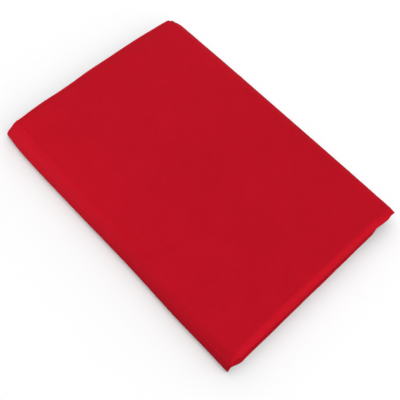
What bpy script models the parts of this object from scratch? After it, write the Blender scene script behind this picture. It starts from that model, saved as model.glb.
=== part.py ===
"""A small flat fabric bolt: cotton folded to a quarter of its width and wound flat round a board.

X runs along the board, which is the axis that the cloth is wound about. Y runs across the board and
+Z is up. The bolt lies on a broad face, with the origin at the centre of its footprint on the floor.

The cloth is one length on the real object. It is divided here where it bends: full turns round the
board, the strips of the outermost fold, and the tail, which is the free end that lies on top.
Seen from +X, the cloth runs from the board outwards: over the top towards +Y, round, and back
underneath towards -Y, once for each turn. The outer fold on the -Y side leads up into the tail.
"""

import math

import bmesh
import bpy
from mathutils import Vector

# Cloth, in metres. Each layer of the roll is the folded cloth, four plies thick.
FOLDED_WIDTH = 0.284
PLIES = 4
PLY_THICKNESS = 0.0003
TURNS = 5
TURN_GAP = 0.0003
TAIL_SETBACK = 0.0005
FOLD_STRIPS = 2
STRIP_GAP = 0.0003
BEND_SEGMENTS = 16

# Board, in metres. Two flat liners with a waved fluting between them, which runs along X.
BOARD_LENGTH = 0.264
BOARD_WIDTH = 0.1745
LINER_THICKNESS = 0.0004
FLUTING_PAPER = 0.00025
FLUTING_HEIGHT = 0.0018
FLUTE_PITCH = 0.0065
GLUE_GAP = 0.0003
WAVE_SEGMENTS = 8

# The board's room inside the first turn.
BOARD_GAP = 0.0003
BEND_CLEARANCE = 0.0005

# Sizes that follow from the ones above.
LAYER = PLIES * PLY_THICKNESS
PITCH = LAYER + TURN_GAP
BOARD_THICKNESS = 2 * LINER_THICKNESS + FLUTING_HEIGHT + 2 * GLUE_GAP
FIRST_RADIUS = BOARD_THICKNESS / 2 + BOARD_GAP - TURN_GAP / 2
FOLD_RADIUS = FIRST_RADIUS + TURNS * PITCH + LAYER / 2
FAR_SIDE_RADIUS = FOLD_RADIUS - PITCH / 2
BEND_SPACING = BOARD_WIDTH + 2 * BEND_CLEARANCE

# The outer fold is half of a regular polygon round the -Y bend, with a hinge at each corner. An even
# number of strips puts a corner at the middle height, which reaches further out than a strip does.
HINGES = FOLD_STRIPS + 1
HINGE_ANGLE = math.pi / HINGES
CORNER_RADIUS = FOLD_RADIUS / math.cos(HINGE_ANGLE / 2)
FOLD_REACH = FOLD_RADIUS if FOLD_STRIPS % 2 else CORNER_RADIUS
OVERALL_WIDTH = BEND_SPACING + FOLD_REACH + FAR_SIDE_RADIUS
OVERALL_HEIGHT = 2 * FOLD_RADIUS

# Centres of the bends in the YZ plane: the +Y bends turn about the board's own middle height, and
# the -Y bends half a pitch above it, so that each turn ends one layer further out than it began.
FOLD_SIDE_Y = -OVERALL_WIDTH / 2 + FOLD_REACH
FAR_SIDE_Y = FOLD_SIDE_Y + BEND_SPACING
FOLD_Z = FOLD_RADIUS
BOARD_Z = FOLD_Z - PITCH / 2

SHARP_ANGLE = math.radians(30)


def clear_scene():
    for old in list(bpy.data.objects):
        bpy.data.objects.remove(old, do_unlink=True)


def make_material(name, color, roughness):
    material = bpy.data.materials.new(name)
    material.use_nodes = True
    shader = material.node_tree.nodes["Principled BSDF"]
    shader.inputs["Base Color"].default_value = (*color, 1.0)
    shader.inputs["Roughness"].default_value = roughness
    shader.inputs["Metallic"].default_value = 0.0
    return material


def make_pivot(name, place, parent=None):
    """An empty at a place in the world, which the pieces of a moving body hang on."""
    pivot = bpy.data.objects.new(name, None)
    bpy.context.collection.objects.link(pivot)
    origin = Vector((0, 0, 0))
    if parent:
        pivot.parent = parent
        origin = Vector(parent["place"])
    pivot.location = Vector(place) - origin
    pivot["place"] = tuple(place)
    return pivot


def band_object(name, outer, inner, length, material, pivot):
    """A band of sheet: the strip between two lines of (y, z) points, extruded along X about x = 0."""
    origin = Vector(pivot["place"])
    mesh_edit = bmesh.new()
    lines = [
        [mesh_edit.verts.new(Vector((-length / 2, y, z)) - origin) for y, z in line]
        for line in (outer, inner)
    ]
    profile = [
        mesh_edit.faces.new((lines[0][i], lines[0][i + 1], lines[1][i + 1], lines[1][i]))
        for i in range(len(outer) - 1)
    ]
    raised = bmesh.ops.extrude_face_region(mesh_edit, geom=profile)
    moved = [item for item in raised["geom"] if isinstance(item, bmesh.types.BMVert)]
    bmesh.ops.translate(mesh_edit, verts=moved, vec=(length, 0, 0))
    bmesh.ops.recalc_face_normals(mesh_edit, faces=mesh_edit.faces)
    mesh = bpy.data.meshes.new(name)
    mesh_edit.to_mesh(mesh)
    mesh_edit.free()
    mesh.materials.append(material)
    mesh.shade_smooth()
    mesh.set_sharp_from_angle(angle=SHARP_ANGLE)
    item = bpy.data.objects.new(name, mesh)
    bpy.context.collection.objects.link(item)
    item.parent = pivot
    return item


def arc(center_y, center_z, radius, start, end):
    """Points along an arc in the YZ plane, with angles from +Y towards +Z."""
    steps = [start + (end - start) * i / BEND_SEGMENTS for i in range(BEND_SEGMENTS + 1)]
    return [(center_y + radius * math.cos(a), center_z + radius * math.sin(a)) for a in steps]


def far_side_radius(turn):
    """Radius of the middle of a layer where the turn goes round the +Y side."""
    return FIRST_RADIUS + (turn - 0.5) * PITCH


def turn_line(turn, offset):
    """One side of a turn: over the board, round the +Y bend, back under it and round the -Y bend."""
    radius = far_side_radius(turn) + offset
    over = [(FOLD_SIDE_Y + TURN_GAP, BOARD_Z + radius)]
    down = arc(FAR_SIDE_Y, BOARD_Z, radius, math.pi / 2, -math.pi / 2)
    if turn == TURNS:
        fold_apothem = FOLD_RADIUS - LAYER / 2 + offset
        reach = fold_apothem * math.tan(HINGE_ANGLE / 2) - STRIP_GAP / 2
        return over + down + [(FOLD_SIDE_Y - reach, BOARD_Z - radius)]
    up_radius = FIRST_RADIUS + turn * PITCH + offset
    up = arc(FOLD_SIDE_Y, FOLD_Z, up_radius, 1.5 * math.pi, 0.5 * math.pi)
    return over + down + up


def make_turns(cloth, pivot):
    for turn in range(1, TURNS + 1):
        outer = turn_line(turn, LAYER / 2)
        inner = turn_line(turn, -LAYER / 2)
        band_object(f"cloth_turn_{turn}", outer, inner, FOLDED_WIDTH, cloth, pivot)


def fold_corner(index, apothem):
    """A corner of the outer fold's polygon. Corner 0 is under the bolt and the last is on top."""
    angle = 1.5 * math.pi - (index + 0.5) * HINGE_ANGLE
    radius = apothem / math.cos(HINGE_ANGLE / 2)
    return Vector((FOLD_SIDE_Y + radius * math.cos(angle), FOLD_Z + radius * math.sin(angle)))


def make_fold_pivots(root):
    """One pivot at each outer corner of the fold, each hanging on the one before it."""
    pivots = []
    parent = root
    for index in range(HINGES):
        corner = fold_corner(index, FOLD_RADIUS)
        parent = make_pivot(f"fold_pivot_{index + 1}", (0, corner.x, corner.y), parent)
        pivots.append(parent)
    return pivots


def make_fold_strips(cloth, pivots):
    for index in range(FOLD_STRIPS):
        lines = []
        for apothem in (FOLD_RADIUS, FOLD_RADIUS - LAYER):
            start = fold_corner(index, apothem)
            end = fold_corner(index + 1, apothem)
            inset = (end - start).normalized() * STRIP_GAP / 2
            lines.append([tuple(start + inset), tuple(end - inset)])
        name = f"outer_fold_strip_{index + 1}"
        band_object(name, lines[0], lines[1], FOLDED_WIDTH, cloth, pivots[index])


def make_tail(cloth, pivot):
    """The free end of the cloth, flat on top from the outer fold to the +Y side."""
    end = FAR_SIDE_Y + FAR_SIDE_RADIUS - TAIL_SETBACK
    lines = []
    for depth in (0, LAYER):
        start = fold_corner(FOLD_STRIPS, FOLD_RADIUS - depth).x + STRIP_GAP / 2
        lines.append([(start, OVERALL_HEIGHT - depth), (end, OVERALL_HEIGHT - depth)])
    band_object("cloth_tail", lines[0], lines[1], FOLDED_WIDTH, cloth, pivot)


def make_board(card, pivot):
    """Two liners and the waved fluting between them, open at both ends like the real board."""
    edges = (FOLD_SIDE_Y + BEND_CLEARANCE, FAR_SIDE_Y - BEND_CLEARANCE)
    liner_z = (BOARD_THICKNESS - LINER_THICKNESS) / 2
    for name, side in (("board_top_liner", 1), ("board_bottom_liner", -1)):
        middle = BOARD_Z + side * liner_z
        lines = [[(y, middle + d * LINER_THICKNESS / 2) for y in edges] for d in (1, -1)]
        band_object(name, lines[0], lines[1], BOARD_LENGTH, card, pivot)

    amplitude = (FLUTING_HEIGHT - FLUTING_PAPER) / 2
    wave_number = 2 * math.pi / FLUTE_PITCH
    steps = round(BOARD_WIDTH / FLUTE_PITCH * WAVE_SEGMENTS)
    lines = [[], []]
    for i in range(steps + 1):
        along = BOARD_WIDTH * i / steps
        height = amplitude * math.sin(wave_number * along)
        slope = math.atan(amplitude * wave_number * math.cos(wave_number * along))
        for line, d in zip(lines, (1, -1)):
            off = d * FLUTING_PAPER / 2
            y = edges[0] + along - off * math.sin(slope)
            line.append((y, BOARD_Z + height + off * math.cos(slope)))
    band_object("board_fluting", lines[0], lines[1], BOARD_LENGTH, card, pivot)


def main():
    clear_scene()
    cloth = make_material("red_cotton", (0.42, 0.0032, 0.012), 0.85)
    card = make_material("kraft_board", (0.45, 0.29, 0.16), 0.9)
    root = make_pivot("bolt", (0, 0, 0))
    make_turns(cloth, root)
    fold_pivots = make_fold_pivots(root)
    make_fold_strips(cloth, fold_pivots)
    make_tail(cloth, fold_pivots[-1])
    make_board(card, make_pivot("board_pivot", (0, 0, BOARD_Z), root))


main()
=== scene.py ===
"""Looks of the fabric bolt: red quilting cotton folded in four plies and wound flat round a board.

The cloth is built ply by ply. Each length of the roll is one sheet, folded twice across its width,
so that the near end (+X) shows two nested folds and the far end (-X) one fold and two selvages.
Every length follows the frame's turns, and one smooth set of soft shapes bends them all together,
so that no layer passes through its neighbour.
"""

import math

import bmesh
import bpy
import numpy as np
from mathutils import Matrix, Vector


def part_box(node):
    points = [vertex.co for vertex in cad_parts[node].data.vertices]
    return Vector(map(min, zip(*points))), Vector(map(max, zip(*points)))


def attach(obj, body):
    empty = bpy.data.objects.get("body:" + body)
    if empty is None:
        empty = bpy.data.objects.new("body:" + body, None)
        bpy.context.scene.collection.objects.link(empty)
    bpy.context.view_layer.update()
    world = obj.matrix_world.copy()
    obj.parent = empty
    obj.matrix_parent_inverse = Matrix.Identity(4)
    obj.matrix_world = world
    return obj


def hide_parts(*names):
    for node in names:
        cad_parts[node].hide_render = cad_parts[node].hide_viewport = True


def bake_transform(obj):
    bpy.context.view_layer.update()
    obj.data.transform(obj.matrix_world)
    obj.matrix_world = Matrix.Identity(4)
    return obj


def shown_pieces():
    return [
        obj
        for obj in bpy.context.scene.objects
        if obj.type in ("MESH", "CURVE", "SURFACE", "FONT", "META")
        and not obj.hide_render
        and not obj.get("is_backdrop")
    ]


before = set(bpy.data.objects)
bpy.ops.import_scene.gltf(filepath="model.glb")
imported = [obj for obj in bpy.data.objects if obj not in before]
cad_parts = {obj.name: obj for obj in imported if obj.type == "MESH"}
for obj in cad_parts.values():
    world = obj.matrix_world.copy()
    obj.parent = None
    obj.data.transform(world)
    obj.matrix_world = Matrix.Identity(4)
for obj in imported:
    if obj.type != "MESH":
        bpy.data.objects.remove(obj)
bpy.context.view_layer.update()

MM = 0.001

# Sizes that the frame gives.
TURNS = sum(1 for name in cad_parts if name.startswith("cloth_turn_"))
turn_boxes = [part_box(f"cloth_turn_{k + 1}") for k in range(TURNS)]
tail_low, tail_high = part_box("cloth_tail")
board_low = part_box("board_bottom_liner")[0]
board_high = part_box("board_top_liner")[1]
HALF = tail_high.x
HEIGHT = tail_high.z
LAYER = tail_high.z - tail_low.z
PITCH = turn_boxes[0][0].z - turn_boxes[1][0].z
BOARD_Z = (board_low.z + board_high.z) / 2
FAR_RADII = [BOARD_Z - low.z - LAYER / 2 for low, high in turn_boxes]
NEAR_RADII = [radius + PITCH / 2 for radius in FAR_RADII]
FAR_Y = turn_boxes[0][1].y - FAR_RADII[0] - LAYER / 2
FOLD_Y = turn_boxes[0][0].y + NEAR_RADII[0] + LAYER / 2
FOLD_Z = turn_boxes[0][1].z - NEAR_RADII[0] - LAYER / 2
FOLD_RADIUS = NEAR_RADII[-1] + LAYER / 2
TAIL_RADIUS = FAR_RADII[-1] + PITCH

# The cloth.
PLIES = 4
PLY_PITCH = 0.29 * MM
PLY = 0.24 * MM


def smooth(value, low, high):
    """0 below low, 1 above high and a smooth step between."""
    t = np.clip((np.asarray(value, float) - low) / (high - low), 0, 1)
    return t * t * (3 - 2 * t)


def eased(value, places, heights, width):
    """A line through a few points, rounded over a width on each side."""
    spread = np.linspace(-width, width, 9)
    return np.mean([np.interp(value + d, places, heights) for d in spread], axis=0)


def ripple(value, seed, wavelengths):
    """A smooth irregular wave of height about 1, the same for a seed at every run."""
    random = np.random.default_rng(seed)
    total = np.zeros_like(np.asarray(value, float))
    for wavelength in wavelengths:
        total += np.sin(2 * math.pi * (value / wavelength + random.random()))
    return total / len(wavelengths)


# ---- Soft shapes that bend every layer together. Positions in metres, in the row frame.

# The long -Y side, in mm from the middle of its bends: how far the outermost surface moves at an angle.
SIDE_ANGLES = np.radians([90, 105, 120, 135, 150, 165, 180, 195, 210, 225, 240, 255, 270])
SIDE_OUT = MM * np.array([0.6, 1.9, 2.9, 3.5, 3.4, 2.6, 1.1, -1.0, -3.1, -5.0, -5.6, -3.4, 0])
SIDE_UP = MM * np.array([-3.3, -3.2, -2.8, -1.9, -1.1, -0.5, -0.3, -0.3, -0.5, -1.0, -1.1, -0.4, 0])
SHOULDER_Y = MM * np.array([-100, -86.6, -81, -72, -60, -50, 100])
SHOULDER_DROP = MM * np.array([-3.3, -3.3, -2.4, -1.2, -0.35, 0, 0])
SIDE_EASE = math.radians(9)
SHOULDER_EASE = 5 * MM
# Layers move in proportion to their distance from the bends' middle: not at all within the core.
SIDE_CORE = 2.6 * MM
SIDE_SHARE_MAX = 1.2
TOP_BLEND = 14 * MM
FLOOR_GAP = 0.02 * MM


def side_shape(y, z):
    """The -Y side leans in above the floor, and the top falls gently towards it."""
    dy = y - FOLD_Y
    dz = z - FOLD_Z
    left = dy < 0
    radius = np.where(left, np.hypot(dy, dz), np.abs(dz))
    angle = np.where(left, np.mod(np.arctan2(dz, dy), 2 * math.pi), math.pi / 2)
    share = np.clip((radius - SIDE_CORE) / (FOLD_RADIUS - SIDE_CORE), 0, SIDE_SHARE_MAX)
    round_out = eased(angle, SIDE_ANGLES, SIDE_OUT, SIDE_EASE)
    round_up = eased(angle, SIDE_ANGLES, SIDE_UP, SIDE_EASE)
    start_out = eased(np.full(1, math.pi / 2), SIDE_ANGLES, SIDE_OUT, SIDE_EASE)[0]
    start_up = eased(np.full(1, math.pi / 2), SIDE_ANGLES, SIDE_UP, SIDE_EASE)[0]
    drop = eased(y, SHOULDER_Y, SHOULDER_DROP, SHOULDER_EASE)
    drop = drop * start_up / eased(np.full(1, FOLD_Y), SHOULDER_Y, SHOULDER_DROP, SHOULDER_EASE)[0]
    flat_out = start_out * (1 - smooth(dy, 0, TOP_BLEND))
    above = dz > 0
    out = np.where(left, round_out, np.where(above, flat_out, 0)) * share
    up = np.where(left, round_up, np.where(above, drop, 0)) * share
    return y + out, np.maximum(z + up, FLOOR_GAP)


# The top is a little uneven: two slow swells, about a mean just under the frame's top.
SWELL_ALONG = 0.16 * MM
SWELL_ACROSS = 0.13 * MM
SWELL_MEAN = 0.2 * MM
# One faint crease, nearly parallel to Y.
CREASE_HEIGHT = 0.15 * MM
CREASE_HALF_WIDTH = 1.1 * MM
CREASE_X = 100.7 * MM
CREASE_SLOPE = -0.025
CREASE_START = -92 * MM
CREASE_END = -52 * MM
CREASE_FADE = 12 * MM


def relief(x, y):
    """Gentle unevenness of the top, and one faint crease near the near end."""
    swell = SWELL_ALONG * ripple(x + 0.3 * y, 3, (0.085, 0.13, 0.21))
    swell += SWELL_ACROSS * ripple(y - 0.2 * x, 5, (0.06, 0.11))
    along = x - CREASE_X - CREASE_SLOPE * y
    crease = CREASE_HEIGHT * np.exp(-((along / CREASE_HALF_WIDTH) ** 2))
    crease *= smooth(y, CREASE_START, CREASE_START + CREASE_FADE)
    crease *= 1 - smooth(y, CREASE_END - CREASE_FADE, CREASE_END)
    return swell - SWELL_MEAN + crease


# How far the sides stand out from straight, along each side, and the strip of the top that follows.
FOLD_SIDE_X = MM * np.array([-142, -133, -125, -110, -85, -57, -28, 0, 28, 57, 85, 100, 125, 142])
FOLD_SIDE_OUT = MM * np.array([0.3, 1.3, 2.2, 2.4, 2.5, 2.1, 1.7, 1.1, 0.7, 1.0, 1.3, 0.9, 0.5, 0.5])
FREE_SIDE_X = MM * np.array([-142, -100, -57, -28, 0, 57, 142])
FREE_SIDE_OUT = MM * np.array([1.5, 1.6, 1.8, 1.5, 1.3, 0.9, 0.4])
FAR_END_Y = MM * np.array([-98, -78, -59, -39, -20, 0, 19, 39, 58, 78, 98])
FAR_END_OUT = MM * np.array([-0.7, -1.1, -1.0, -0.9, -0.1, 1.0, 1.25, 1.4, 1.7, 0.9, -0.5])
FOLD_SIDE_STRIP = (76 * MM, 97 * MM)
FREE_SIDE_STRIP = (84 * MM, 97 * MM)
FAR_END_STRIP = (120 * MM, 140 * MM)
OUTLINE_EASE = 9 * MM


def outline_shape(x, y):
    """The sides bow out a little, as the cloth was wound by hand."""
    left = eased(x, FOLD_SIDE_X, FOLD_SIDE_OUT, OUTLINE_EASE) * smooth(-y, *FOLD_SIDE_STRIP)
    right = eased(x, FREE_SIDE_X, FREE_SIDE_OUT, OUTLINE_EASE) * smooth(y, *FREE_SIDE_STRIP)
    back = eased(y, FAR_END_Y, FAR_END_OUT, OUTLINE_EASE) * smooth(-x, *FAR_END_STRIP)
    return x - back, y - left + right


# Where the top begins to fall towards the near end, along Y, where it stops, and how far it falls.
FALL_Y = MM * np.array([-100, -62, -31, 0, 26, 100])
FALL_X = MM * np.array([137, 136, 135, 134.3, 133.8, 133.5])
FALL_EASE = 12 * MM
FALL_END = 141 * MM
NEAR_FALL = 2.6 * MM
FAR_FALL = 0.3 * MM
FAR_FALL_STRIP = (126 * MM, 142 * MM)
# The free side, where the cut end lies, stays up.
FREE_SIDE_HOLD = 0.8
HOLD_STRIP = (66 * MM, 88 * MM)
# Beyond the board's ends the layers above its room come down into it.
NEAR_CLOSING = 0.8 * MM
NEAR_CLOSING_STRIP = (134.5 * MM, 142 * MM)
FAR_CLOSING = 0.7 * MM
FAR_CLOSING_STRIP = (132.5 * MM, 141.5 * MM)
CORE_HALF = 1.75 * MM


def end_shape(x, y, z):
    """Beyond the board's ends the layers close up, and the top falls towards each end."""
    x, y = outline_shape(x, y)
    near = smooth(x, *NEAR_CLOSING_STRIP)
    far = smooth(-x, *FAR_CLOSING_STRIP)
    middle = np.clip((z - (BOARD_Z - CORE_HALF)) / (2 * CORE_HALF), 0, 1)
    above = np.clip((z - (BOARD_Z + CORE_HALF)) / (HEIGHT - BOARD_Z - CORE_HALF), 0, 1)
    start = eased(y, FALL_Y, FALL_X, FALL_EASE)
    fall = np.clip((x - start) / (FALL_END - start), 0, 1) ** 2 * NEAR_FALL
    fall += FAR_FALL * smooth(-x, *FAR_FALL_STRIP)
    fall *= 1 - FREE_SIDE_HOLD * smooth(y, *HOLD_STRIP)
    z = z - (NEAR_CLOSING * near + FAR_CLOSING * far) * middle
    return x, y, z + above * (relief(x, y) - fall)


# ---- Paths that the layers follow round the board, seen from +X.

BEND_STEP = 0.3 * MM
FLAT_STEP = 0.5 * MM


def bend_path(center_y, center_z, radius, start, end):
    count = max(3, int(abs(end - start) * radius / BEND_STEP))
    a = np.linspace(start, end, count)
    return np.stack([center_y + radius * np.cos(a), center_z + radius * np.sin(a), np.cos(a), np.sin(a)])


def flat_path(start, end, z, side):
    y = np.linspace(start, end, max(3, int(abs(end - start) / FLAT_STEP)))
    return np.stack([y, np.full_like(y, z), np.zeros_like(y), np.full_like(y, side)])


class Path:
    """A line of (y, z) places with outward normals, read by the length along it."""

    def __init__(self, *parts):
        self.rows = np.concatenate(parts, axis=1)
        steps = np.hypot(np.diff(self.rows[0]), np.diff(self.rows[1]))
        self.at = np.concatenate([[0], np.cumsum(steps)])
        self.length = self.at[-1]

    def read(self, s):
        return [np.interp(s, self.at, row) for row in self.rows]


def turn_path(turn, floor_end=None):
    far = FAR_RADII[turn]
    parts = [
        flat_path(FOLD_Y, FAR_Y, BOARD_Z + far, 1),
        bend_path(FAR_Y, BOARD_Z, far, math.pi / 2, -math.pi / 2),
    ]
    if floor_end is not None:
        return Path(*parts, flat_path(FAR_Y, floor_end, BOARD_Z - far, -1))
    near = NEAR_RADII[turn]
    return Path(
        *parts,
        flat_path(FAR_Y, FOLD_Y, BOARD_Z - far, -1),
        bend_path(FOLD_Y, FOLD_Z, near, 1.5 * math.pi, 0.5 * math.pi),
    )


# The outer fold is divided into three pieces on its way up from the floor to the top. The first seam is where
# the fold stands on the line of the frame's strip.
FLOOR_END = FOLD_Y + 4 * MM
SEAM_1 = math.radians(179)
SEAM_2 = math.radians(116)
TAIL_START = FOLD_Y + 9 * MM
TAIL_DROP_ANGLE = math.radians(48)


def fold_paths():
    r = NEAR_RADII[-1]
    first = Path(
        flat_path(FLOOR_END, FOLD_Y, FOLD_Z - r, -1),
        bend_path(FOLD_Y, FOLD_Z, r, 1.5 * math.pi, SEAM_1),
    )
    second = Path(bend_path(FOLD_Y, FOLD_Z, r, SEAM_1, SEAM_2))
    third = Path(
        bend_path(FOLD_Y, FOLD_Z, r, SEAM_2, 0.5 * math.pi),
        flat_path(FOLD_Y, TAIL_START, FOLD_Z + r, 1),
    )
    tail = Path(
        flat_path(TAIL_START, FAR_Y, FOLD_Z + r, 1),
        bend_path(FAR_Y, BOARD_Z, TAIL_RADIUS, math.pi / 2, math.pi / 2 - TAIL_DROP_ANGLE),
    )
    return first, second, third, tail


# ---- The folded cross-section: one sheet in four plies, from selvage to selvage.


# How far the two selvages and the inner fold stop short of the outer fold.
OUTER_SELVAGE_INSET = 0.9 * MM
INNER_SELVAGE_INSET = 0.3 * MM
INNER_FOLD_INSET = 0.1 * MM


class Section:
    """Points along the folded sheet. Each has a place along X, given from the two ends, and a height."""

    def __init__(self, top_step, hidden_step, near_zone, far_zone, fine):
        self.rows = []
        heights = [(k - 1.5) * PLY_PITCH for k in range(PLIES)]
        outer = 1.5 * PLY_PITCH
        inner = 0.5 * PLY_PITCH
        zones = (near_zone, far_zone, fine)
        inner_near = outer + INNER_FOLD_INSET
        self.run(heights[0], OUTER_SELVAGE_INSET, outer, 1, hidden_step, zones)
        self.turn(0, outer, outer, -90, 90, near=True)
        self.run(heights[3], inner, outer, -1, top_step, zones)
        self.turn(PLY_PITCH, inner, inner, 90, 270, near=False)
        self.run(heights[2], inner, inner_near, 1, hidden_step, zones)
        self.turn(0, inner, inner_near, 90, -90, near=True)
        self.run(heights[1], INNER_SELVAGE_INSET, inner_near, -1, hidden_step, zones)
        self.rows = np.array(self.rows)

    def run(self, height, far_inset, near_inset, way, step, zones):
        near_zone, far_zone, fine = zones
        count = max(2, round((2 * HALF - near_zone - far_zone) / step))
        rows = [
            (0, d, 0, height, 0, way)
            for d in np.linspace(far_inset, far_zone, max(2, round(far_zone / fine)), endpoint=False)
        ]
        rows += [(w, far_zone, near_zone, height, 0, way) for w in np.linspace(0, 1, count, endpoint=False)]
        rows += [
            (1, 0, d, height, 0, way)
            for d in np.linspace(near_zone, near_inset, max(2, round(near_zone / fine)))
        ]
        self.rows += rows if way > 0 else rows[::-1]

    def turn(self, middle, radius, inset, start, end, near):
        """A half circle that joins two plies. Its normals point to the left of the way it runs."""
        count = 9 if radius > PLY_PITCH else 6
        left = 1 if end > start else -1
        for a in np.radians(np.linspace(start, end, count))[1:-1]:
            out = inset - radius * abs(math.cos(a))
            row = (1, 0, out) if near else (0, out, 0)
            nx = -left * math.cos(a)
            self.rows.append((*row, middle + radius * math.sin(a), nx, -left * math.sin(a)))

    def place(self, x_start, x_end):
        """X of every point for each pair of ends: rows are the ends, and columns the points."""
        w, from_far, from_near = self.rows[:, 0], self.rows[:, 1], self.rows[:, 2]
        near = x_end[:, None] - from_near
        return (1 - w) * (x_start[:, None] + from_far) + w * near


def build_cloth(name, path, section, ends, steps, hang=None, recede=None, run_from=0.0):
    """A length of folded cloth that follows a path. ends gives its two ends along X for a length."""
    s = np.concatenate(steps)
    x_start, x_end = ends(s)
    x = section.place(x_start, x_end)
    height = section.rows[:, 3]
    sheets = []
    for side in (1, -1):
        across = x + side * PLY / 2 * section.rows[:, 4]
        lift = np.broadcast_to(height + side * PLY / 2 * section.rows[:, 5], x.shape)
        along = np.broadcast_to(s[:, None], x.shape)
        if recede is not None:
            along = recede(along, across, path.length)
        drop = np.zeros_like(across)
        if hang is not None:
            across, drop, lift = hang(along, across, lift, x_end[:, None])
        y, z, ny, nz = path.read(along)
        y = y + ny * (lift - drop)
        z = z + nz * (lift - drop)
        y, z = side_shape(y, z)
        sheets.append(np.stack(end_shape(across, y, z), axis=-1))
    return sheet_mesh(name, sheets, s + run_from)


CLOTH_UV = "cloth"
SHARP_ANGLE = math.radians(60)


def sheet_mesh(name, sheets, s):
    """A closed sheet from its two faces. Its UV map runs in metres along the thread both ways."""
    rows, columns = sheets[0].shape[:2]
    count = rows * columns
    index = np.arange(count).reshape(rows, columns)

    def quads(a, b, c, d):
        return np.stack([a.ravel(), b.ravel(), c.ravel(), d.ravel()], axis=1)

    upper = quads(index[:-1, :-1], index[1:, :-1], index[1:, 1:], index[:-1, 1:])
    lower = quads(index[:-1, :-1], index[:-1, 1:], index[1:, 1:], index[1:, :-1]) + count
    edges = []
    for line, flip in ((index[:, 0], 1), (index[:, -1], 0), (index[0], 0), (index[-1], 1)):
        a, b = (line[:-1], line[1:]) if flip else (line[1:], line[:-1])
        edges.append(quads(a, b, b + count, a + count))
    faces = np.concatenate([upper, lower, *edges])
    points = np.concatenate([sheet.reshape(-1, 3) for sheet in sheets])
    mesh = bpy.data.meshes.new(name)
    mesh.from_pydata(points.tolist(), [], faces.tolist())
    middle = (sheets[0] + sheets[1]) / 2
    run = np.linalg.norm(np.diff(middle[rows // 2], axis=0), axis=1)
    width = np.concatenate([[0], np.cumsum(run)])
    u = np.tile(np.broadcast_to(width, (rows, columns)).ravel(), 2)
    v = np.tile(np.broadcast_to(s[:, None], (rows, columns)).ravel(), 2)
    corners = np.zeros(len(mesh.loops), np.int32)
    mesh.loops.foreach_get("vertex_index", corners)
    layer = mesh.uv_layers.new(name=CLOTH_UV)
    layer.uv.foreach_set("vector", np.stack([u[corners], v[corners]], axis=1).astype(np.float32).ravel())
    mesh.shade_smooth()
    mesh.set_sharp_from_angle(angle=SHARP_ANGLE)
    item = bpy.data.objects.new(name, mesh)
    bpy.context.scene.collection.objects.link(item)
    return item


def spaced(start, end, step):
    return np.linspace(start, end, max(2, round((end - start) / step)), endpoint=False)


# ---- The lengths of cloth.

inner_section = Section(9 * MM, 12 * MM, 10 * MM, 6 * MM, 1.6 * MM)
outer_section = Section(3.5 * MM, 9 * MM, 44 * MM, 8 * MM, 1.0 * MM)


TURN_FLAT_STEP = 7 * MM
TURN_BEND_STEP = 1.1 * MM


def turn_steps(path, turn):
    flat = FAR_Y - FOLD_Y
    bend = math.pi * FAR_RADII[turn]
    marks = [0, flat, flat + bend, 2 * flat + bend, path.length]
    marks = [m for m in marks if m < path.length] + [path.length]
    sizes = [TURN_FLAT_STEP, TURN_BEND_STEP] * 2
    steps = [spaced(a, b, size) for a, b, size in zip(marks, marks[1:], sizes)]
    return steps + [np.array([path.length])]


LAST = TURNS - 1
FLAT = FAR_Y - FOLD_Y
# The lowest layer's near end, along Y, and how far the turns' ends lie from it on top and underneath.
NEAR_END_Y = MM * np.array([-90, -78, -39, 0, 39, 60, 85])
NEAR_END_X = MM * np.array([143.3, 142.8, 142.2, 141.5, 140.9, 140.5, 139.8])
NEAR_END_EASE = 4 * MM
TURN_TOP_END = 137.0 * MM
TURN_SETBACK = 0.9 * MM
TURN_FAR_END = -141.3 * MM
LOWEST_FAR_OUT = 0.8 * MM


def near_end_x(y):
    """Where the lowest layer ends. It runs out a little past the others."""
    return eased(y, NEAR_END_Y, NEAR_END_X, NEAR_END_EASE)


def turn_ends(turn):
    """A turn stops short of the tail on top, and runs further out where it goes underneath."""
    bend_end = FLAT + math.pi * FAR_RADII[turn]
    back_up = bend_end + FLAT
    lowest = turn == LAST

    def ends(s):
        out = near_end_x(FAR_Y - (s - bend_end))
        under = smooth(s, bend_end - 2 * MM, bend_end + 14 * MM)
        if lowest:
            wave = 0.15 * MM * ripple(s, 9, (0.03, 0.07))
        else:
            under = under * (1 - smooth(s, back_up - 16 * MM, back_up - 3 * MM))
            wave = 0.35 * MM * ripple(s, 20 + turn, (0.11, 0.23, 0.31))
            out = out - TURN_SETBACK
        near = (1 - under) * TURN_TOP_END + under * out + wave
        far = TURN_FAR_END - LOWEST_FAR_OUT * lowest * under
        return far + 0.45 * MM * ripple(s, 40 + turn, (0.09, 0.2, 0.27)), near

    return ends


HANG_ANGLE = math.radians(94)


def hang_over(start_x, radius, drop):
    """The outermost layer rolls over the near end and hangs. The sizes are functions of the length."""

    def hang(along, across, lift, x_end):
        x0, r = start_x(along), radius(along)
        over = np.maximum(across - x0, 0) * hang_length(drop(along), r) / (x_end - x0)
        angle = np.minimum(over / r, HANG_ANGLE)
        rest = np.maximum(over - r * HANG_ANGLE, 0)
        x = np.minimum(across, x0) + r * np.sin(angle) + rest * math.cos(HANG_ANGLE)
        down = r * (1 - np.cos(angle)) + rest * math.sin(HANG_ANGLE)
        return x + lift * np.sin(angle), down, lift * np.cos(angle)

    return hang


def hang_length(drop, radius):
    """Length of cloth that rolls over and hangs down by a drop."""
    rolled = radius * (1 - math.cos(HANG_ANGLE))
    return radius * HANG_ANGLE + np.maximum(drop - rolled, 0) / math.sin(HANG_ANGLE)


first_path, second_path, third_path, tail_path = fold_paths()
FOLD_STARTS = np.cumsum([0, first_path.length, second_path.length, third_path.length])
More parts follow.
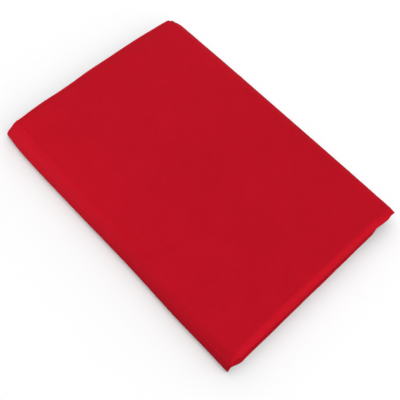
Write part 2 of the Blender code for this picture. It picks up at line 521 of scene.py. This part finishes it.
# The length along the outer layer, from the floor, where the -Y side ends and the top begins.
TOP_AT = first_path.length + second_path.length + (third_path.length - (TAIL_START - FOLD_Y))


def outer_y(s):
    """Y on the top for a length along the outer layer. It runs on past both bends."""
    return FOLD_Y + (s - TOP_AT)


# The outer layer's near end: where it ends, how sharply it rolls over and how far it hangs down.
# The first places run up the -Y side and are lengths from the floor, in mm. The rest lie along Y on top.
SIDE_PLACES = [0, 3, 5, 6.3, 7.6, 9, 11, 13.5, 16, 20, 25, 30]
TOP_PLACES = [-82, -72, -60, -31, 0, 26, 60, 78, 83, 86, 88.5, 90, 93]
SIDE_ENDS = [142.9, 142.8, 142.1, 140.4, 140.2, 140.8, 141.5, 141.0, 140.3, 140.2, 140.2, 140.6]
TOP_ENDS = [141.3, 141.3, 141.0, 140.6, 140.0, 139.6, 139.2, 140.3, 141.1, 141.5, 141.3, 140.9, 141.1]
SIDE_RADII = [0.25] * 8 + [0.4, 0.7, 1.4, 2.6]
TOP_RADII = [2.4, 2.8, 3.2, 3.4, 3.4, 3.4, 3.2, 2.6, 1.8, 1.2, 0.6, 0.35, 0.25]
SIDE_DROPS = [0.05] * 8 + [0.4, 0.8, 1.6, 3.6]
TOP_DROPS = [5.6, 6.8, 7.4, 7.6, 7.6, 7.6, 7.4, 6.4, 4.6, 2.6, 1.2, 0.4, 0.25]
OUTER_PLACES = MM * np.array(SIDE_PLACES + [y - FOLD_Y / MM + TOP_AT / MM for y in TOP_PLACES])
HANG_ENDS = MM * np.array(SIDE_ENDS + TOP_ENDS)
HANG_RADII = MM * np.array(SIDE_RADII + TOP_RADII)
HANG_DROPS = MM * np.array(SIDE_DROPS + TOP_DROPS)
HANG_EASE = 1.2 * MM
# Its far end, along Y: it runs out a little towards the free side and under the outer fold.
OUTER_FAR_END = -140.6 * MM
FREE_SIDE_FAR_OUT = 0.7 * MM
FREE_SIDE_FAR_STRIP = (0, 70 * MM)
FOLD_SIDE_FAR_OUT = 1.6 * MM
FOLD_SIDE_FAR_STRIP = (96 * MM, 108 * MM)


def hang_radius(s):
    return eased(s, OUTER_PLACES, HANG_RADII, HANG_EASE)


def hang_start(s):
    return eased(s, OUTER_PLACES, HANG_ENDS, HANG_EASE) - hang_radius(s)


def hang_drop(s):
    return eased(s, OUTER_PLACES, HANG_DROPS, HANG_EASE)


def outer_ends(s):
    near = hang_start(s) + hang_length(hang_drop(s), hang_radius(s))
    near = near + 0.12 * MM * ripple(s, 61, (0.021, 0.047, 0.09))
    far = OUTER_FAR_END - FREE_SIDE_FAR_OUT * smooth(outer_y(s), *FREE_SIDE_FAR_STRIP)
    far = far - FOLD_SIDE_FAR_OUT * smooth(-outer_y(s), *FOLD_SIDE_FAR_STRIP)
    return far + 0.25 * MM * ripple(s, 62, (0.05, 0.12)), near


def outer_piece(name, path, start, steps, recede=None):
    hang = hang_over(
        lambda along: hang_start(along + start),
        lambda along: hang_radius(along + start),
        lambda along: hang_drop(along + start),
    )
    return build_cloth(
        name,
        path,
        outer_section,
        lambda s: outer_ends(s + start),
        steps,
        hang=hang,
        recede=recede,
        run_from=start,
    )


# The free end's cut edge: how far its corners are drawn in, and the length that follows.
FAR_CORNER_IN = 6.5 * MM
FAR_CORNER_STRIP = (126 * MM, 141 * MM)
NEAR_CORNER_IN = 1.6 * MM
NEAR_CORNER_STRIP = (20 * MM, 141 * MM)
FREE_END_FADE = 22 * MM


def free_end(along, across, length):
    """The cut end of the tail is drawn in at its corners, most at the far one."""
    back = FAR_CORNER_IN * smooth(-across, *FAR_CORNER_STRIP) ** 1.5
    back = back + NEAR_CORNER_IN * smooth(across, *NEAR_CORNER_STRIP)
    back = back + 0.25 * MM * ripple(across, 71, (0.02, 0.045, 0.1))
    return along - back * smooth(along, length - FREE_END_FADE, length)


turns = []
for turn in range(TURNS):
    path = turn_path(turn, FLOOR_END if turn == LAST else None)
    section = outer_section if turn == LAST else inner_section
    piece = build_cloth(f"turn_{turn + 1}", path, section, turn_ends(turn), turn_steps(path, turn))
    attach(piece, "bolt")
    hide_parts(f"cloth_turn_{turn + 1}")
    turns.append(piece)

folds = []
for number, (path, nodes) in enumerate(
    (
        (first_path, ["outer_fold_strip_1"]),
        (second_path, ["outer_fold_strip_2"]),
        (third_path, []),
    )
):
    steps = [spaced(0, path.length, 0.7 * MM), np.array([path.length])]
    piece = outer_piece(f"outer_fold_{number + 1}", path, FOLD_STARTS[number], steps)
    if nodes:
        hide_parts(*nodes)
    folds.append(piece)

fold_end = 12 * MM
free_start = FAR_Y - TAIL_START - 8 * MM
tail_steps = [
    spaced(0, fold_end, 1.2 * MM),
    spaced(fold_end, free_start, 3.2 * MM),
    spaced(free_start, tail_path.length, 1.0 * MM),
    np.array([tail_path.length]),
]
tail = outer_piece("tail", tail_path, FOLD_STARTS[3], tail_steps, recede=free_end)
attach(tail, "tail")
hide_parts("cloth_tail")


def side_place(angle, radius, along=0.0):
    """A place on the shaped -Y side, from its angle and radius before the shaping."""
    y = np.array([FOLD_Y + along + radius * math.cos(angle)])
    z = np.array([FOLD_Z + radius * math.sin(angle)])
    y, z = side_shape(y, z)
    return Vector((0, y[0], z[0]))


# Places where each fold piece would bend, a little inside its own two seams, at the middle of the layer; the
# first would stay with the bolt up to its widest place, so as not to dip below the floor. The places are worked
# out but not used: the loop below only bakes each piece's transform into its mesh.
LAYER_MIDDLE = FOLD_RADIUS - LAYER / 2
WIDEST_ANGLE = math.radians(223)
bends = (
    ("bolt", "fold_1", side_place(WIDEST_ANGLE, FOLD_RADIUS), side_place(SEAM_1 + 0.06, LAYER_MIDDLE)),
    ("fold_1", "fold_2", side_place(SEAM_1 - 0.12, LAYER_MIDDLE), side_place(SEAM_2 + 0.12, LAYER_MIDDLE)),
    (
        "fold_2",
        "tail",
        side_place(SEAM_2 - 0.10, LAYER_MIDDLE),
        side_place(math.pi / 2, LAYER_MIDDLE, 7 * MM),
    ),
)
for piece, (body_a, body_b, start, end) in zip(folds, bends):
    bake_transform(piece)


# ---- Materials.


def new_material(name):
    material = bpy.data.materials.new(name)
    material.use_nodes = True
    tree = material.node_tree
    return material, tree, tree.nodes["Principled BSDF"]


def link(tree, source, target):
    tree.links.new(source, target)


def math_node(tree, operation, a, b=None):
    node = tree.nodes.new("ShaderNodeMath")
    node.operation = operation
    for socket, value in zip(node.inputs, (a, b)):
        if value is None:
            continue
        if isinstance(value, (int, float)):
            socket.default_value = value
        else:
            link(tree, value, socket)
    return node.outputs[0]


def noise(tree, vector, scale, detail, roughness=0.5):
    node = tree.nodes.new("ShaderNodeTexNoise")
    node.inputs["Scale"].default_value = scale
    node.inputs["Detail"].default_value = detail
    node.inputs["Roughness"].default_value = roughness
    link(tree, vector, node.inputs["Vector"])
    return node.outputs["Fac"]


def scaled(tree, vector, scale):
    node = tree.nodes.new("ShaderNodeMapping")
    node.inputs["Scale"].default_value = scale
    link(tree, vector, node.inputs["Vector"])
    return node.outputs["Vector"]


def two_tones(tree, tone, shader, dark, light):
    """The base colour runs from dark to light. Each is a position on the scale and a colour."""
    ramp = tree.nodes.new("ShaderNodeValToRGB")
    for element, (position, color) in zip(ramp.color_ramp.elements, (dark, light)):
        element.position = position
        element.color = (*color, 1)
    link(tree, tone, ramp.inputs["Fac"])
    link(tree, ramp.outputs["Color"], shader.inputs["Base Color"])


def add_bump(tree, height, shader, strength, distance):
    bump = tree.nodes.new("ShaderNodeBump")
    bump.inputs["Strength"].default_value = strength
    bump.inputs["Distance"].default_value = distance
    link(tree, height, bump.inputs["Height"])
    link(tree, bump.outputs["Normal"], shader.inputs["Normal"])


RED_DARK = (0.375, 0.0024, 0.0096)
RED_LIGHT = (0.465, 0.0040, 0.0144)
SHEEN_TINT = (1.0, 0.10, 0.14)
THREAD_PITCH = 0.37 * MM
KRAFT_DARK = (0.33, 0.20, 0.105)
KRAFT_LIGHT = (0.52, 0.35, 0.20)
FLUTE_PITCH = 6.5 * MM


def cotton_material():
    """Plain-weave cotton: threads, slubs, a little dye variation and a faint sheen."""
    material, tree, shader = new_material("red_cotton")
    uv = tree.nodes.new("ShaderNodeUVMap")
    uv.uv_map = CLOTH_UV
    place = uv.outputs["UV"]
    slub_across = noise(tree, scaled(tree, place, (130, 900, 1)), 1, 2)
    slub_along = noise(tree, scaled(tree, place, (900, 130, 1)), 1, 2)
    blotch = noise(tree, place, 55, 3)
    cloud = noise(tree, place, 11, 2)
    slubs = math_node(tree, "ADD", slub_across, slub_along)
    tone = math_node(tree, "MULTIPLY", slubs, 0.30)
    tone = math_node(tree, "ADD", tone, math_node(tree, "MULTIPLY", blotch, 0.25))
    tone = math_node(tree, "ADD", tone, math_node(tree, "MULTIPLY", cloud, 0.25))
    two_tones(tree, tone, shader, (0.30, RED_DARK), (0.72, RED_LIGHT))

    split = tree.nodes.new("ShaderNodeSeparateXYZ")
    link(tree, place, split.inputs[0])
    thread = 2 * math.pi / THREAD_PITCH
    warp = math_node(tree, "SINE", math_node(tree, "MULTIPLY", split.outputs[0], thread))
    weft = math_node(tree, "SINE", math_node(tree, "MULTIPLY", split.outputs[1], thread))
    weave = math_node(tree, "MULTIPLY", warp, weft)
    height = math_node(tree, "ADD", math_node(tree, "MULTIPLY", weave, 0.25), slubs)
    add_bump(tree, height, shader, strength=0.35, distance=0.06 * MM)
    rough = math_node(tree, "ADD", math_node(tree, "MULTIPLY", blotch, 0.12), 0.74)
    link(tree, rough, shader.inputs["Roughness"])
    shader.inputs["Sheen Weight"].default_value = 0.15
    shader.inputs["Sheen Roughness"].default_value = 0.5
    shader.inputs["Sheen Tint"].default_value = (*SHEEN_TINT, 1)
    shader.inputs["Specular IOR Level"].default_value = 0.05
    return material


def board_material():
    """Kraft paper: fibres, flecks, and a faint print of the flutes through it."""
    material, tree, shader = new_material("kraft_board")
    coords = tree.nodes.new("ShaderNodeTexCoord")
    place = coords.outputs["Object"]
    fibre = noise(tree, scaled(tree, place, (260, 1500, 1500)), 1, 4, 0.6)
    fleck = noise(tree, place, 700, 2)
    cloud = noise(tree, place, 30, 2)
    half_fibre = math_node(tree, "MULTIPLY", fibre, 0.5)
    tone = math_node(tree, "ADD", half_fibre, math_node(tree, "MULTIPLY", cloud, 0.5))
    two_tones(tree, tone, shader, (0.30, KRAFT_DARK), (0.70, KRAFT_LIGHT))
    split = tree.nodes.new("ShaderNodeSeparateXYZ")
    link(tree, place, split.inputs[0])
    across = math_node(tree, "MULTIPLY", split.outputs[1], 2 * math.pi / FLUTE_PITCH)
    flutes = math_node(tree, "SINE", across)
    height = math_node(tree, "ADD", half_fibre, math_node(tree, "MULTIPLY", fleck, 0.3))
    height = math_node(tree, "ADD", height, math_node(tree, "MULTIPLY", flutes, 0.35))
    add_bump(tree, height, shader, strength=0.5, distance=0.12 * MM)
    shader.inputs["Roughness"].default_value = 0.85
    shader.inputs["Specular IOR Level"].default_value = 0.2
    return material


cotton = cotton_material()
for piece in [*turns, *folds, tail]:
    piece.data.materials.append(cotton)
card = board_material()
card_nodes = [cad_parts[name] for name in ("board_top_liner", "board_fluting", "board_bottom_liner")]
for node in card_nodes:
    for slot in node.material_slots:
        slot.material = card


# ---- Studio.


FLOOR_HALF = 6.0
FLOOR_WHITE = (0.86, 0.86, 0.865)
BACKDROP_RADIUS = 8.0


def make_floor():
    """A plain pale floor. It gives no light back to the cloth."""
    mesh = bpy.data.meshes.new("floor")
    corners = [(x * FLOOR_HALF, y * FLOOR_HALF, 0) for x, y in ((-1, -1), (1, -1), (1, 1), (-1, 1))]
    mesh.from_pydata(corners, [], [(0, 1, 2, 3)])
    floor = bpy.data.objects.new("floor", mesh)
    bpy.context.scene.collection.objects.link(floor)
    material, _, shader = new_material("floor_white")
    shader.inputs["Base Color"].default_value = (*FLOOR_WHITE, 1)
    shader.inputs["Roughness"].default_value = 0.9
    shader.inputs["Specular IOR Level"].default_value = 0.1
    mesh.materials.append(material)
    floor.visible_diffuse = False
    floor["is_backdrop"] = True
    return floor


def make_backdrop():
    """A plain white shell far round the floor. Only the camera sees it, so it gives no light."""
    mesh = bpy.data.meshes.new("backdrop")
    shell = bmesh.new()
    bmesh.ops.create_uvsphere(shell, u_segments=48, v_segments=24, radius=BACKDROP_RADIUS)
    shell.to_mesh(mesh)
    shell.free()
    backdrop = bpy.data.objects.new("backdrop", mesh)
    bpy.context.scene.collection.objects.link(backdrop)
    material, _, shader = new_material("backdrop_white")
    shader.inputs["Base Color"].default_value = (0, 0, 0, 1)
    shader.inputs["Specular IOR Level"].default_value = 0
    shader.inputs["Emission Color"].default_value = (1, 1, 1, 1)
    shader.inputs["Emission Strength"].default_value = 1.0
    mesh.materials.append(material)
    backdrop.visible_diffuse = False
    backdrop.visible_glossy = False
    backdrop.visible_transmission = False
    backdrop.visible_shadow = False
    backdrop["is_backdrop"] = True


def place_light(name, data, way, receivers):
    """Turns a light to shine from a direction, on its receivers only."""
    lamp = bpy.data.objects.new(name, data)
    bpy.context.scene.collection.objects.link(lamp)
    lamp.rotation_euler = way.to_track_quat("Z", "Y").to_euler()
    lit = bpy.data.collections.new(f"lit_by_{name}")
    for item in receivers:
        lit.objects.link(item)
    lamp.light_linking.receiver_collection = lit
    return lamp


def far_light(name, direction, angle, strength, receivers):
    data = bpy.data.lights.new(name, "SUN")
    data.angle = math.radians(angle)
    data.energy = strength
    return place_light(name, data, Vector(direction), receivers)


def near_light(name, place, aim, size, power, receivers):
    data = bpy.data.lights.new(name, "AREA")
    data.size = size
    data.energy = power
    lamp = place_light(name, data, Vector(place) - Vector(aim), receivers)
    lamp.location = place
    return lamp


def make_world(color, strength):
    world = bpy.data.worlds.new("studio")
    world.use_nodes = True
    tree = world.node_tree
    background = tree.nodes["Background"]
    background.inputs["Color"].default_value = (*color, 1)
    background.inputs["Strength"].default_value = strength
    bpy.context.scene.world = world


# The camera looks down across the near end and the outer fold's side.
AZIMUTH = math.radians(41.52)
ELEVATION = math.radians(61.12)
ROLL = math.radians(6.52)
FOCAL_PIXELS = 652
IMAGE_PIXELS = 400


def make_camera():
    back = Vector(
        (math.sin(AZIMUTH) * math.cos(ELEVATION), -math.cos(AZIMUTH) * math.cos(ELEVATION), math.sin(ELEVATION))
    )
    right = Vector((math.cos(AZIMUTH), math.sin(AZIMUTH), 0))
    up = back.cross(right)
    tilted_right = right * math.cos(ROLL) + up * math.sin(ROLL)
    tilted_up = up * math.cos(ROLL) - right * math.sin(ROLL)
    data = bpy.data.cameras.new("camera")
    data.sensor_width = 36
    data.lens = data.sensor_width * FOCAL_PIXELS / IMAGE_PIXELS
    data.clip_start = 0.01
    camera = bpy.data.objects.new("camera", data)
    bpy.context.scene.collection.objects.link(camera)
    place = back * 0.573 + tilted_right * 0.0031 + tilted_up * -0.0201
    axes = Matrix((tilted_right, tilted_up, back)).transposed().to_4x4()
    camera.matrix_world = Matrix.Translation(place) @ axes
    bpy.context.scene.camera = camera


floor = make_floor()
make_backdrop()
shown = list(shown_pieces())
make_world(color=(1, 1, 1), strength=0.10)
upper = [tail, *folds[1:]]
lower = [*turns, folds[0], *card_nodes]
far_light("overhead", direction=(0.2, 0.6, 1.0), angle=150, strength=3.9, receivers=[floor])
far_light("key", direction=(0.68, 0.02, 0.73), angle=24, strength=4.05, receivers=upper)
far_light("key_below", direction=(0.30, 0.02, 0.95), angle=24, strength=3.0, receivers=lower)
far_light("back", direction=(-0.7, 0.7, 0.12), angle=40, strength=1.15, receivers=shown)
near_light(
    "side",
    place=(-0.27, -0.50, 0.03),
    aim=(-0.06, -0.09, 0.01),
    size=0.25,
    power=2.35,
    receivers=shown,
)
make_camera()
bpy.context.scene.view_settings.view_transform = "Standard"
